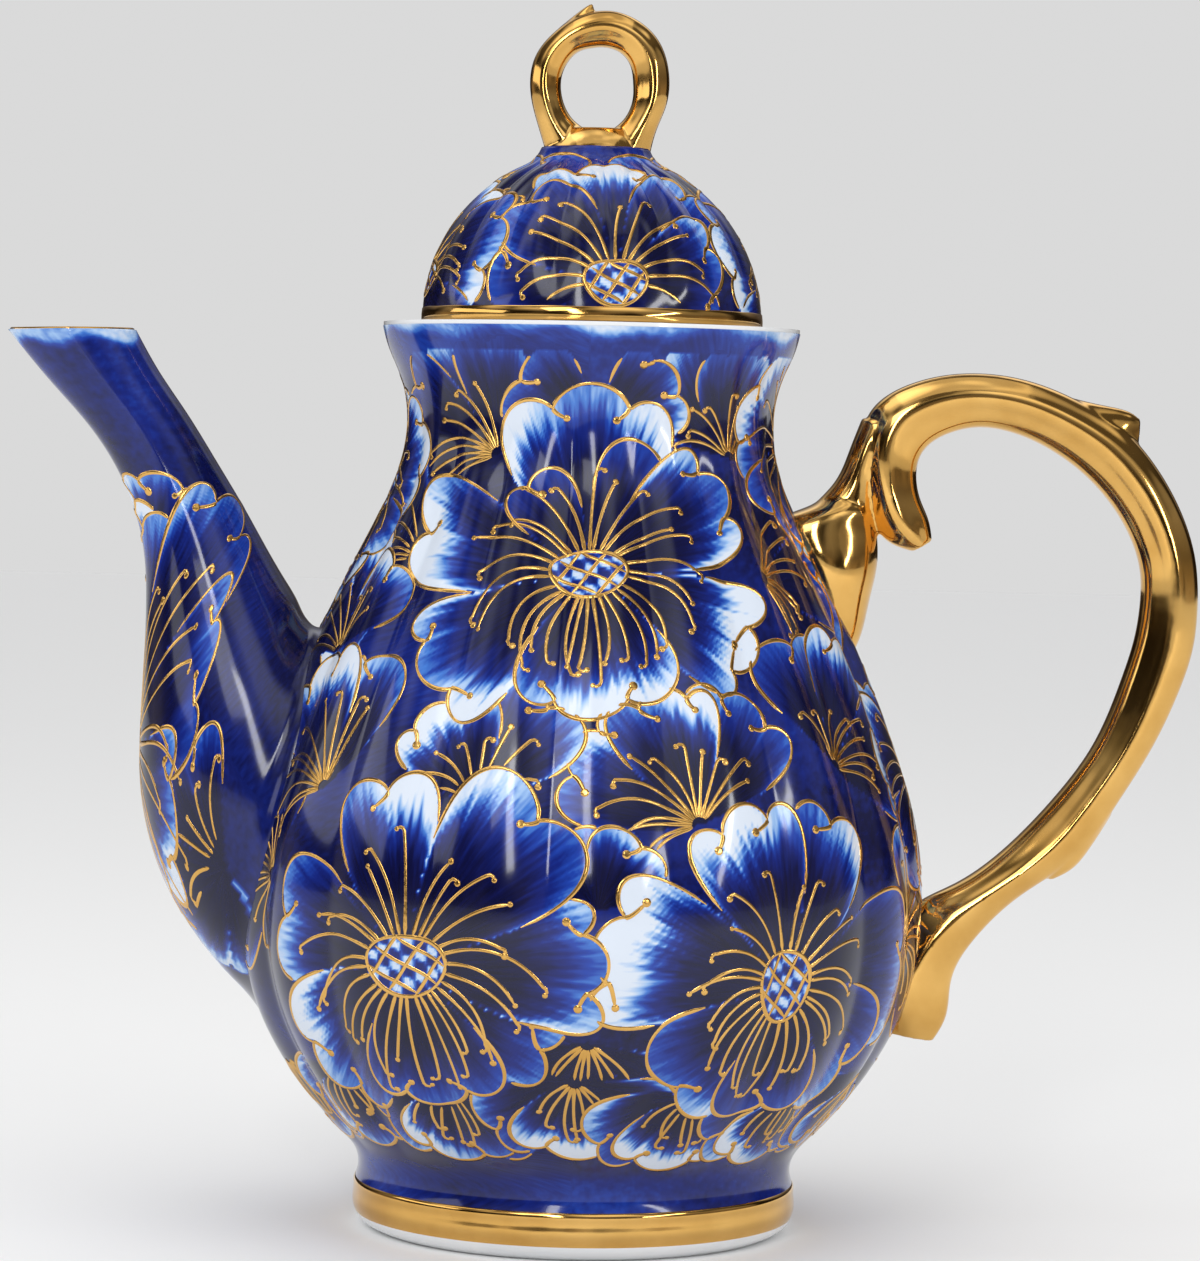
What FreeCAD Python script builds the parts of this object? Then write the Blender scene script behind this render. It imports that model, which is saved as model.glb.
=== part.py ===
# Porcelain teapot with a tall waisted body, a swan-neck spout, a scrolled handle and a loose domed lid.
# Millimetres. Origin on the pot's axis at the underside of the foot, +Z up, handle towards +X,
# spout towards -X. Every sub-part is one closed solid, written to parts/NODE.step.

import FreeCAD, Part
import math
import os

os.makedirs("parts", exist_ok=True)

# ---- driving dimensions -------------------------------------------------------------------------
WALL = 3.5              # body wall
SPOUT_WALL = 2.8        # spout wall
DOME_WALL = 3.0         # lid wall
GILT = 0.15             # thickness of a fired gilt band

FOOT_TOP = 12.0         # height of the foot ring, where the body starts
FOOT_EDGE_R = 41.5      # outer radius of the foot's resting edge
FOOT_ROLL_R = 45.25     # the foot's rounded roll, at its widest
FOOT_BORE_R = 36.5      # hollow under the foot
WAIST_R = 43.9          # between the foot and the belly
BELLY_R = 68.5          # widest radius of the body
BELLY_Z = 68.0
NECK_R = 36.8           # narrowest radius of the neck
NECK_Z = 163.0
RIM_R = 42.4            # outer radius of the rim
RIM_Z = 184.4
SEAT_BORE_R = 30.4      # opening inside the lid's seat
SEAT_THICK = 3.6        # thickness of the inward seat at the rim
FLOOR_THICK = 4.0

LID_R = 34.4            # outer radius of the lid at its edge
LID_GAP = 0.1           # resting clearance between lid and seat
LID_TOP_R = 10.9        # the dome's crown, where the finial stands
LID_TOP_Z = 220.4
LID_BAND = 3.0          # height of the lid's gilt edge
FLANGE_R = 29.4         # locating flange under the lid, outside
FLANGE_WALL = 3.0
FLANGE_DEPTH = 9.0

FINIAL_SHIFT = 1.4      # the ring's outline is drawn about its own bar, then centred on the lid
FINIAL_HALF_DEPTH = 4.4

BASE_TOP = 30.0         # levels at which the body's one casting is divided into nodes
BELLY_TOP = 100.0
SHOULDER_TOP = 150.0

STRAINER_HOLE_R = 2.5   # holes through the body wall behind the spout
STRAINER_ROWS = (66.0, 75.0, 84.0, 93.0)
STRAINER_STEP_DEG = 8.0
STRAINER_HALF_Y = 17.5  # the pierced patch of wall
STRAINER_Z = (60.5, 98.5)
STRAINER_CORNER_R = 8.0

SPOUT_BEND_Z = 125.0    # level at which the spout's one casting is divided into nodes
SPOUT_CUT_Z = 179.6     # above this height the spout's lip is gilded
HANDLE_ROUNDNESS = 2.5  # superellipse power of the handle's section, 2 is an ellipse
SECTION_POLES = 16      # control points round each lofted section


# ---- helpers --------------------------------------------------------------------------------------
def vec(x, y, z):
    return FreeCAD.Vector(x, y, z)


AXIS = vec(0, 0, 1)
ORIGIN = vec(0, 0, 0)


def curve(points):
    """A smooth edge through (radius, height) points in the XZ plane."""
    spline = Part.BSplineCurve()
    spline.interpolate([vec(r, 0, z) for r, z in points])
    return spline.toShape()


def line(a, b):
    return Part.makeLine(vec(a[0], 0, a[1]), vec(b[0], 0, b[1]))


def turned(edges):
    """Revolve a closed half-outline about the pot's axis."""
    face = Part.Face(Part.Wire(edges))
    return face.revolve(ORIGIN, AXIS, 360)


def closed(points, edges_between):
    """Close a smooth outline with straight edges through the listed corner points."""
    edges = [curve(points)]
    corners = [points[-1]] + edges_between + [points[0]]
    edges += [line(a, b) for a, b in zip(corners, corners[1:])]
    return edges


def section(outer, inner, half_y, power=2.0, beak=0.0):
    """Control points of a closed section between two points of the XZ plane, half_y wide to each side.

    power sets how square it is, beak draws the end at `outer` out to a blunt point."""
    centre = ((outer[0] + inner[0]) / 2, (outer[1] + inner[1]) / 2)
    half = ((outer[0] - inner[0]) / 2, (outer[1] - inner[1]) / 2)
    # a uniform cubic spline runs inside its control points by this factor
    fuller = 6 / (4 + 2 * math.cos(2 * math.pi / SECTION_POLES))
    poles = []
    for i in range(SECTION_POLES):
        angle = 2 * math.pi * i / SECTION_POLES
        c, s = math.cos(angle), math.sin(angle)
        along = fuller * math.copysign(abs(c) ** (2 / power), c)
        across = fuller * math.copysign(abs(s) ** (2 / power), s) * (1 - beak * max(c, 0))
        poles.append(vec(centre[0] + half[0] * along, half_y * across, centre[1] + half[1] * along))
    return poles


def loft(sections):
    """A solid whose skin runs smoothly through the sections, with flat ends."""
    centres = [sum(poles, vec(0, 0, 0)) * (1 / len(poles)) for poles in sections]
    stations = [0.0]
    for a, b in zip(centres, centres[1:]):
        stations.append(stations[-1] + (b - a).Length)
    tracks = []
    for track in zip(*sections):
        run = Part.BSplineCurve()
        run.interpolate(Points=list(track), Parameters=stations)
        tracks.append(run)
    skin = Part.BSplineSurface()
    around_knots = list(range(SECTION_POLES + 1))
    skin.buildFromPolesMultsKnots([run.getPoles() for run in tracks], [1] * len(around_knots),
                                  tracks[0].getMultiplicities(), around_knots, tracks[0].getKnots(),
                                  True, False, 3, tracks[0].Degree)
    face = skin.toShape()
    ends = [Part.Face(Part.Wire(skin.vIso(v).toShape())) for v in (stations[0], stations[-1])]
    shell = Part.makeShell([face] + ends)
    shell.sewShape()
    solid = Part.makeSolid(shell)
    if solid.Volume < 0:
        solid.reverse()
    return solid


def slab(outline, half_y):
    """A straight-sided piece with the given XZ outline, centred on the XZ plane."""
    corners = [vec(x, -half_y, z) for x, z in outline]
    face = Part.Face(Part.makePolygon(corners + corners[:1]))
    return face.extrude(vec(0, 2 * half_y, 0))


def save(name, shape):
    solids = shape.Solids
    assert solids and shape.isValid(), name
    print(name, len(solids), "solid(s), volume", round(shape.Volume), "mm3")
    if len(solids) == 1:
        shape = solids[0]
    shape.exportStep("parts/" + name + ".step")


# ---- body -----------------------------------------------------------------------------------------
BODY_OUTLINE = [(WAIST_R, FOOT_TOP), (44.8, 16.4), (48.4, 21), (56.3, 31), (63.5, 43), (67.9, 58),
                (BELLY_R, BELLY_Z), (67.0, 83), (62.7, 97.7), (57.0, 112.5), (50.4, 127), (42.9, 142),
                (37.9, 154), (NECK_R, NECK_Z), (38.8, 173.8), (41.6, 180.5), (RIM_R, 183.6)]


def body_core():
    """The body as if it were solid, for trimming what is luted to it."""
    return turned(closed(BODY_OUTLINE, [(RIM_R, RIM_Z), (0, RIM_Z), (0, FOOT_TOP)]))


def wall_inside(points, wall):
    """The same outline, moved inward by the wall."""
    moved = []
    for i, (r, z) in enumerate(points):
        a = points[max(i - 1, 0)]
        b = points[min(i + 1, len(points) - 1)]
        length = math.hypot(b[0] - a[0], b[1] - a[1])
        moved.append((r - wall * (b[1] - a[1]) / length, z + wall * (b[0] - a[0]) / length))
    return moved


def make_wall(core):
    """The whole hollow body, before it is divided."""
    floor_z = FOOT_TOP + FLOOR_THICK
    seat_low = RIM_Z - SEAT_THICK
    inner = wall_inside(BODY_OUTLINE[2:-2], WALL)
    edges = closed([(40.0, floor_z)] + inner,
                   [(SEAT_BORE_R, seat_low), (SEAT_BORE_R, RIM_Z + 1), (0, RIM_Z + 1), (0, floor_z)])
    return core.cut(turned(edges))


def between(shape, low, high):
    return shape.common(Part.makeCylinder(2 * BELLY_R, high - low, vec(0, 0, low)))


def strainer_patch():
    """A block with rounded corners that takes the patch out of the wall behind the spout."""
    low, high = STRAINER_Z
    block = Part.makeBox(40, 2 * STRAINER_HALF_Y, high - low, vec(-BELLY_R - 10, -STRAINER_HALF_Y, low))
    corners = [e for e in block.Edges if abs(e.tangentAt(e.FirstParameter).x) > 0.99]
    return block.makeFillet(STRAINER_CORNER_R, corners)


def pierced(patch):
    for row, height in enumerate(STRAINER_ROWS):
        columns = 3 if row % 2 else 4
        for column in range(columns):
            turn = math.radians(180 + STRAINER_STEP_DEG * (column - (columns - 1) / 2))
            across = vec(math.cos(turn), math.sin(turn), 0)
            start = across * (BELLY_R - 22) + vec(0, 0, height)
            patch = patch.cut(Part.makeCylinder(STRAINER_HOLE_R, 30, start, across))
    return patch


FOOT_OUTLINE = [(FOOT_EDGE_R, 0), (44.4, 2.2), (FOOT_ROLL_R, 5.0), (44.6, 8.7), (WAIST_R, FOOT_TOP)]
FOOT_BAND = (2.4, 9.4)  # the gilt band on the foot's roll, from and to height


def make_foot():
    return turned(closed(FOOT_OUTLINE, [(FOOT_BORE_R, FOOT_TOP), (FOOT_BORE_R + 1, 0)]))


def gilt_band(outline, low, high):
    """A thin skin of gold over the outside of a turned outline, between two heights."""
    spline = curve(outline).Curve

    def parameter_at(height):
        first, last = spline.FirstParameter, spline.LastParameter
        for _ in range(50):
            middle = (first + last) / 2
            if spline.value(middle).z < height:
                first = middle
            else:
                last = middle
        return middle

    spline.segment(parameter_at(low), parameter_at(high))
    inside = spline.toShape()
    outside = inside.translated(vec(GILT, 0, 0))
    ends = [Part.makeLine(e.valueAt(u), e.valueAt(u) + vec(GILT, 0, 0))
            for e, u in ((inside, inside.FirstParameter), (inside, inside.LastParameter))]
    return turned(Part.__sortEdges__([inside, outside] + ends))


# ---- spout ----------------------------------------------------------------------------------------
# Each section: lower/outer edge, upper/inner edge, half-width across.
SPOUT_SECTIONS = [((-60.0, 40.0), (-44.0, 116.0), 26.5),
                  ((-77.0, 56.5), (-56.2, 122.5), 25.5),
                  ((-86.2, 72.0), (-59.0, 127.0), 23.0),
                  ((-90.2, 88.0), (-61.4, 131.0), 20.0),
                  ((-90.4, 105.0), (-64.2, 135.5), 16.6),
                  ((-89.9, 122.0), (-67.4, 141.0), 13.4),
                  ((-90.6, 137.0), (-71.2, 147.5), 11.0),
                  ((-94.4, 149.5), (-76.2, 155.5), 9.8),
                  ((-101.8, 161.5), (-82.3, 165.0), 9.7),
                  ((-110.6, 171.3), (-88.0, 173.2), 10.2),
                  ((-119.1, 181.2), (-92.9, 181.6), 11.0)]
SPOUT_BEAK = (0, 0, 0, 0, 0, 0, 0.05, 0.12, 0.2, 0.3, 0.42)


def spout_loft(wall, overrun):
    wires = []
    for (outer, inner, half), beak in zip(SPOUT_SECTIONS, SPOUT_BEAK):
        width = math.hypot(outer[0] - inner[0], outer[1] - inner[1])
        t = wall / width
        near = (outer[0] + (inner[0] - outer[0]) * t, outer[1] + (inner[1] - outer[1]) * t)
        far = (inner[0] + (outer[0] - inner[0]) * t, inner[1] + (outer[1] - inner[1]) * t)
        wires.append(section(near, far, half - wall, beak=beak))
    if overrun:
        (outer, inner, half), beak = SPOUT_SECTIONS[-1], SPOUT_BEAK[-1]
        lift = (-4.0, 5.0)
        near = (outer[0] + wall + lift[0], outer[1] + lift[1])
        far = (inner[0] - wall + lift[0], inner[1] + lift[1])
        wires.append(section(near, far, half - wall, beak=beak))
    return loft(wires)


def make_spout(core):
    tube = spout_loft(0, False).cut(spout_loft(SPOUT_WALL, True)).cut(core)
    above = Part.makeBox(60, 60, 20, vec(-140, -30, SPOUT_CUT_Z))
    lip = tube.common(above)
    return tube.cut(above), lip


# ---- handle ---------------------------------------------------------------------------------------
# The bar, from the tip of its inner scroll over the top of the arch down to the tail on the body.
BAR_SECTIONS = [((66.5, 139.9), (70.4, 142.2), 3.2),
                ((60.5, 142.5), (69.6, 146.4), 5.6),
                ((57.0, 150.0), (67.6, 151.2), 6.3),
                ((55.4, 158.6), (67.0, 157.4), 6.5),
                ((57.2, 168.2), (69.4, 161.8), 6.5),
                ((65.6, 174.2), (73.8, 164.3), 6.5),
                ((77.6, 176.5), (79.8, 165.5), 6.6),
                ((90.0, 175.0), (86.8, 164.4), 6.6),
                ((101.0, 170.6), (94.0, 161.3), 6.6),
                ((109.0, 165.6), (100.6, 156.8), 6.6),
                ((115.6, 158.4), (106.6, 150.6), 6.6),
                ((121.0, 149.2), (111.0, 143.4), 6.6),
                ((124.1, 139.9), (113.1, 136.6), 6.6),
                ((124.9, 130.4), (113.2, 129.6), 6.6),
                ((124.2, 121.4), (112.2, 122.8), 6.5),
                ((121.6, 112.6), (110.0, 115.2), 6.5),
                ((115.4, 99.0), (104.4, 101.2), 6.5),
                ((109.0, 88.3), (97.4, 91.0), 6.4),
                ((102.0, 78.6), (88.8, 81.4), 6.4),
                ((88.6, 68.6), (76.6, 71.9), 6.3),
                ((80.6, 60.2), (68.0, 67.0), 6.6),
                ((76.4, 51.4), (60.0, 56.0), 6.8),
                ((75.6, 44.6), (58.0, 47.0), 6.0),
                ((73.0, 39.5), (60.0, 41.5), 3.6)]
# The bud that carries the bar on the body, as level slices: low x, high x, height, half-width.
BUD_SLICES = [(50.0, 54.2, 117.6, 1.4),
              (47.0, 56.2, 122.0, 4.8),
              (43.0, 58.0, 130.0, 8.2),
              (39.0, 59.6, 138.0, 9.4),
              (37.0, 60.4, 145.0, 8.8),
              (47.6, 59.8, 150.4, 7.4),
              (51.8, 60.0, 156.4, 6.4),
              (53.8, 61.0, 163.4, 5.2)]
SPUR = [(97.0, 167.5), (101.4, 170.8), (106.0, 170.2), (110.2, 169.3), (112.2, 167.2), (113.4, 162.4),
        (108.0, 158.5)]
KNUCKLE = [(104.6, 84.0), (102.6, 77.7), (98.9, 74.6), (91.0, 70.6), (88.0, 74.0), (96.0, 84.0)]


def make_handle(core):
    bar = loft([section(o, i, y, HANDLE_ROUNDNESS) for o, i, y in BAR_SECTIONS])
    bud = loft([section((x1, z), (x0, z), y) for x0, x1, z, y in BUD_SLICES])
    handle = bar.fuse([bud, slab(SPUR, 2.4), slab(KNUCKLE, 2.8)])
    return handle.cut(core)


# ---- lid ------------------------------------------------------------------------------------------
LID_LOW = RIM_Z + LID_GAP
DOME_OUTLINE = [(LID_R, LID_LOW), (34.2, 188.6), (33.1, 193.0), (31.2, 198.2), (28.8, 203.0), (25.4, 207.5),
                (20.6, 212.0), (15.4, 215.6), (12.2, 218.0), (LID_TOP_R, LID_TOP_Z)]


def dome_blank():
    return turned(closed(DOME_OUTLINE, [(0, LID_TOP_Z), (0, LID_LOW)]))


def make_dome(blank):
    inner = wall_inside(DOME_OUTLINE[1:7], DOME_WALL)
    web_top = LID_LOW + DOME_WALL
    start = (LID_R - DOME_WALL - 0.4, web_top)
    bore = FLANGE_R - FLANGE_WALL
    edges = [line((bore, LID_LOW - 1), (bore, web_top)), line((bore, web_top), start)]
    edges.append(curve([start] + inner[1:] + [(9.0, 213.8), (0.0, 214.6)]))
    edges.append(line((0, 214.6), (0, LID_LOW - 1)))
    edges.append(line((0, LID_LOW - 1), (bore, LID_LOW - 1)))
    return blank.cut(turned(edges))


def make_flange():
    outer = Part.makeCylinder(FLANGE_R, FLANGE_DEPTH, vec(0, 0, LID_LOW - FLANGE_DEPTH))
    bore = Part.makeCylinder(FLANGE_R - FLANGE_WALL, FLANGE_DEPTH, vec(0, 0, LID_LOW - FLANGE_DEPTH))
    return outer.cut(bore)


# The finial is a ring of clay: outside and inside of its bar, going round from the left foot.
RING_SECTIONS = [((-11.4, 219.0), (-2.0, 223.6), 5.4),
                 ((-13.4, 225.4), (-6.4, 226.6), 4.6),
                 ((-15.0, 232.4), (-8.7, 232.2), 4.4),
                 ((-14.2, 238.6), (-8.1, 236.6), 4.4),
                 ((-10.8, 243.4), (-5.8, 239.7), 4.4),
                 ((-5.4, 247.2), (-2.8, 240.8), 4.4),
                 ((1.2, 248.4), (0.3, 241.0), 4.4),
                 ((6.6, 246.6), (3.2, 240.0), 4.4),
                 ((10.8, 242.8), (5.2, 237.6), 4.4),
                 ((13.1, 236.6), (5.9, 234.0), 4.4),
                 ((12.9, 230.0), (5.8, 230.2), 4.4),
                 ((11.0, 224.8), (4.2, 226.6), 4.6),
                 ((9.6, 219.0), (0.6, 223.6), 5.4)]
LEAF_TIP = [(-9.0, 245.2), (-5.8, 247.8), (-4.1, 249.7), (-2.6, 250.0), (2.4, 248.4), (0.0, 243.0),
            (-4.5, 242.6)]


def shifted(point):
    return (point[0] + FINIAL_SHIFT, point[1])


def make_finial(blank):
    ring = loft([section(shifted(o), shifted(i), y, 2.3) for o, i, y in RING_SECTIONS])
    base = loft([section((LID_TOP_R, LID_TOP_Z - 1.5), (-LID_TOP_R, LID_TOP_Z - 1.5), 8.0),
                 section((9.4, 222.6), (-9.4, 222.6), 6.4),
                 section((6.6, 225.0), (-6.6, 225.0), 4.0)])
    leaf = slab([shifted(p) for p in LEAF_TIP], FINIAL_HALF_DEPTH / 2.4)
    below = Part.makeCylinder(2 * LID_R, 40, vec(0, 0, LID_TOP_Z - 40))
    return ring.fuse([base, leaf]).cut(blank).cut(below)


# ---- build ----------------------------------------------------------------------------------------
core = body_core()
dome = dome_blank()
spout, lip = make_spout(core)
wall = make_wall(core)
patch = strainer_patch()

save("pot_base", between(wall, FOOT_TOP, BASE_TOP))
save("pot_belly", between(wall, BASE_TOP, BELLY_TOP).cut(patch))
save("pot_shoulder", between(wall, BELLY_TOP, SHOULDER_TOP))
save("pot_neck", between(wall, SHOULDER_TOP, RIM_Z))
save("spout_strainer", pierced(wall.common(patch)))
save("foot_ring", make_foot())
save("foot_gilt_band", gilt_band(FOOT_OUTLINE, *FOOT_BAND))
save("spout_root", between(spout, 0, SPOUT_BEND_Z))
save("spout_neck", between(spout, SPOUT_BEND_Z, RIM_Z))
save("spout_gilt_lip", lip)
save("handle", make_handle(core))
save("lid_dome", make_dome(dome))
save("lid_flange", make_flange())
save("lid_gilt_band", gilt_band(DOME_OUTLINE, LID_LOW, LID_LOW + LID_BAND))
save("lid_finial", make_finial(dome))
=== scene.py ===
import math

import bpy
import numpy as np
from mathutils import Matrix, Vector


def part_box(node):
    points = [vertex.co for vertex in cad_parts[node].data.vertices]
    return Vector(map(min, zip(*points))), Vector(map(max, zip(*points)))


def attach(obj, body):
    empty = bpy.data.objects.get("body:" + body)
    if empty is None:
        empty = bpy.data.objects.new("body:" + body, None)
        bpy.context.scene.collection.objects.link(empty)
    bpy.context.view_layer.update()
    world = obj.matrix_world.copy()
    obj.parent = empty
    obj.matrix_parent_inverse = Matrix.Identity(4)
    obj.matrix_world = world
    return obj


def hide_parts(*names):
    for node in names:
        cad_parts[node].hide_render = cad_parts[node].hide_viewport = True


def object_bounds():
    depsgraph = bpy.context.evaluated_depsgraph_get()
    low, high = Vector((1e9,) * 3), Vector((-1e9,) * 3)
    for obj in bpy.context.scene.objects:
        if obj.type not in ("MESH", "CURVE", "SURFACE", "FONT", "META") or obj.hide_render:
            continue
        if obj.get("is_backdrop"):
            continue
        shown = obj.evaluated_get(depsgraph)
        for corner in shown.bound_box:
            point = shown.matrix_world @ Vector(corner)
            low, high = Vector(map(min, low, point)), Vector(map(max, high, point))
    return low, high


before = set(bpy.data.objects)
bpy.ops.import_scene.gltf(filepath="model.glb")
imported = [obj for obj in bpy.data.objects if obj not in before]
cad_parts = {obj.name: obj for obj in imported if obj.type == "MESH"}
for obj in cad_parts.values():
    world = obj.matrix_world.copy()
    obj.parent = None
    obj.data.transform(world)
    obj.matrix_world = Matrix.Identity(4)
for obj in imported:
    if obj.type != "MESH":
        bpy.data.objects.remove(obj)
CAD_LOW, CAD_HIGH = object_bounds()

# Lengths below are millimetres and turns are degrees. Turn 0 faces the viewer (-Y), +90 is the handle's
# side (+X) and -90 the spout's. Meshes are scaled to metres as they are made.
MM = 0.001
STEP = 0.6   # spacing of a painted skin's points
RIM_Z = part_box("pot_neck")[1][2] / MM
LID_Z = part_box("lid_dome")[0][2] / MM
LID_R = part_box("lid_dome")[1][0] / MM
FOOT_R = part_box("foot_ring")[1][0] / MM
FOOT_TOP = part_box("foot_ring")[1][2] / MM
BELLY_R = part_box("pot_belly")[1][0] / MM

HEM = (20, 28)          # heights between which a skin's hem fades out
FLUTE_ROUNDING = 0.02   # softens the creases between flutes
FLUTE_CREASE = 0.14     # what the rounding adds in a crease, taken off again
WALL = 2.8              # thickness of the spout's porcelain
FINIAL_SHIFT = 1.4      # centres the ring, drawn about its own bar, on the lid
HANDLE_SINK = 1.6       # how deep the handle's roots go into the pot's wall

rng = np.random.default_rng(7)


# ---- curves and skins ------------------------------------
def spline(points, count):
    """Points evenly spaced by chord length on the natural cubic curve through the given ones."""
    p = np.array(points, float)
    knots = np.concatenate([[0], np.cumsum(np.linalg.norm(np.diff(p, axis=0), axis=1))])
    gap = np.diff(knots)
    n = len(knots)
    system = np.zeros((n, n))
    system[0, 0] = system[-1, -1] = 1
    load = np.zeros_like(p)
    for i in range(1, n - 1):
        system[i, i - 1:i + 2] = gap[i - 1], 2 * (gap[i - 1] + gap[i]), gap[i]
        load[i] = 6 * ((p[i + 1] - p[i]) / gap[i] - (p[i] - p[i - 1]) / gap[i - 1])
    bend = np.linalg.solve(system, load)
    s = np.linspace(0, knots[-1], count)
    k = np.clip(np.searchsorted(knots, s) - 1, 0, n - 2)
    a = ((knots[k + 1] - s) / gap[k])[:, None]
    b = ((s - knots[k]) / gap[k])[:, None]
    curved = (a ** 3 - a) * bend[k] + (b ** 3 - b) * bend[k + 1]
    return a * p[k] + b * p[k + 1] + curved * gap[k, None] ** 2 / 6


def smooth(low, high, x):
    """0 before low, 1 past high, and an easy change between. low may be the greater."""
    t = np.clip((x - low) / (high - low), 0, 1)
    return t * t * (3 - 2 * t)


def wrapped(turn):
    """The same turn between -180 and 180."""
    return (turn + 180) % 360 - 180


class TurnedSkin:
    """The outside of a turned and fluted piece. u is the turn, v the height or the length of the curve.

    The flutes stand `depth` proud and fade in and out between the four values of `fade`. `lift` is the
    skin's height over the outline, and `hem` is added to it near the foot.
    """

    def __init__(self, outline, flutes, first_crease, depth, fade, lift, by_height, hem=0.0):
        curve = spline(outline, 3000)
        self.r, self.z = curve.T
        length = np.concatenate([[0], np.cumsum(np.linalg.norm(np.diff(curve, axis=0), axis=1))])
        self.length = length
        self.v = self.z if by_height else length
        slope = np.gradient(curve, length, axis=0)
        self.out_r, self.out_z = slope[:, 1], -slope[:, 0]
        self.flutes, self.first_crease, self.depth, self.fade = flutes, first_crease, depth, fade
        self.lift, self.hem = lift, hem

    def girth(self, v):
        """Millimetres along the surface for each degree of turn."""
        return np.interp(v, self.v, self.r) * math.pi / 180

    def rise(self, v):
        """Millimetres along the surface for each unit of v."""
        return np.interp(v, self.v, np.gradient(self.length, self.v))

    def flute(self, u, v):
        """How far the flutes stand out there."""
        low, low_full, high_full, high = self.fade
        amount = self.depth * smooth(low, low_full, v) * (1 - smooth(high_full, high, v))
        wave = np.cos(np.radians((u - self.first_crease) * self.flutes / 2 - 90))
        return amount * (np.sqrt(wave ** 2 + FLUTE_ROUNDING) - FLUTE_CREASE)

    def point(self, u, v, lift=0.0):
        out = self.lift + lift + self.flute(u, v) + self.hem * (1 - smooth(*HEM, v))
        r = np.interp(v, self.v, self.r) + out * np.interp(v, self.v, self.out_r)
        z = np.interp(v, self.v, self.z) + out * np.interp(v, self.v, self.out_z)
        turn = np.radians(u)
        return np.stack([r * np.sin(turn), -r * np.cos(turn), z], -1)

    def rows(self, step):
        count = int(self.length[-1] / step)
        return np.interp(np.linspace(0, self.length[-1], count), self.length, self.v)


class SpoutSkin:
    """The spout's outside, flared by `cove` where it meets the body.

    u runs round it, 0 on the viewer's side and 90 along its lower edge, and v runs along it.
    """

    def __init__(self, sections, body, cove):
        table = np.array(sections, float)
        centres = (table[:, 0:2] + table[:, 2:4]) / 2
        reach = np.concatenate([[0], np.cumsum(np.linalg.norm(np.diff(centres, axis=0), axis=1))])
        fine = spline(np.column_stack([reach, table]), 800)
        self.v = fine[:, 0]
        self.columns = fine[:, 1:]
        self.body = body
        self.cove = cove

    def read(self, column, v):
        return np.interp(v, self.v, self.columns[:, column])

    def girth(self, v):
        long = np.hypot(self.read(0, v) - self.read(2, v), self.read(1, v) - self.read(3, v)) / 2
        return (long + self.read(4, v)) / 2 * math.pi / 180

    def rise(self, v):
        return np.ones_like(np.asarray(v, float))

    def point(self, u, v, lift=0.0):
        turn = np.radians(u - 90)
        c, s = np.cos(turn), np.sin(turn)
        mid_x = (self.read(0, v) + self.read(2, v)) / 2
        mid_z = (self.read(1, v) + self.read(3, v)) / 2
        half_x = (self.read(0, v) - self.read(2, v)) / 2
        half_z = (self.read(1, v) - self.read(3, v)) / 2
        half_y = self.read(4, v) * (1 - self.read(5, v) * np.maximum(c, 0))
        long = np.hypot(half_x, half_z)
        out_c, out_s = c * half_y, s * long
        size = np.hypot(out_c, out_s) + 1e-9
        out_c, out_s = out_c / size, out_s / size
        x, y, z = mid_x + half_x * c, half_y * s, mid_z + half_z * c
        clear = np.hypot(x, y) - np.interp(z, self.body.z, self.body.r)
        out = lift + self.cove * np.clip(1 - clear / (2.4 * self.cove), 0, 1) ** 2
        x = x + out * out_c * half_x / long
        z = z + out * out_c * half_z / long
        return np.stack([x, y + out * out_s, z], -1)

    def rows(self, step):
        return np.linspace(0, self.v[-1], int(self.v[-1] / step))


BODY_OUTLINE = [(44.5, 9.6), (43.9, FOOT_TOP), (44.8, 16.4), (48.4, 21), (56.3, 31), (63.5, 43), (67.9, 58),
                (BELLY_R, 68), (67.0, 83), (62.7, 97.7), (57.0, 112.5), (50.4, 127), (42.9, 142),
                (37.9, 154), (36.8, 163), (38.8, 173.8), (41.6, 180.5), (42.4, 183.6)]
DOME_OUTLINE = [(LID_R, LID_Z), (34.2, 188.6), (33.1, 193.0), (31.2, 198.2), (28.8, 203.0), (25.4, 207.5),
                (20.6, 212.0), (15.4, 215.6), (12.2, 218.0), (10.9, 220.4)]
# lower edge x, z; upper edge x, z; half-width; how far the lower edge is drawn out to a beak
SPOUT_SECTIONS = [(-60.0, 40.0, -44.0, 116.0, 26.5, 0), (-77.0, 56.5, -56.2, 122.5, 25.5, 0),
                  (-86.2, 72.0, -59.0, 127.0, 23.0, 0), (-90.2, 88.0, -61.4, 131.0, 20.0, 0),
                  (-90.4, 105.0, -64.2, 135.5, 16.6, 0), (-89.9, 122.0, -67.4, 141.0, 13.4, 0),
                  (-90.6, 137.0, -71.2, 147.5, 11.0, 0.05), (-94.4, 149.5, -76.2, 155.5, 9.8, 0.12),
                  (-101.8, 161.5, -82.3, 165.0, 9.7, 0.2), (-110.6, 171.3, -88.0, 173.2, 10.2, 0.3),
                  (-119.0, 181.2, -92.9, 181.6, 11.0, 0.42)]

body_skin = TurnedSkin(BODY_OUTLINE, 18, 15, 1.6, (14, 34, 146, 176), 0.12, True, hem=0.28)
dome_skin = TurnedSkin(DOME_OUTLINE, 18, 7, 0.9, (0, 14, 34, 46), 0.12, False)
spout_skin = SpoutSkin(SPOUT_SECTIONS, body_skin, 1.5)


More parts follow.
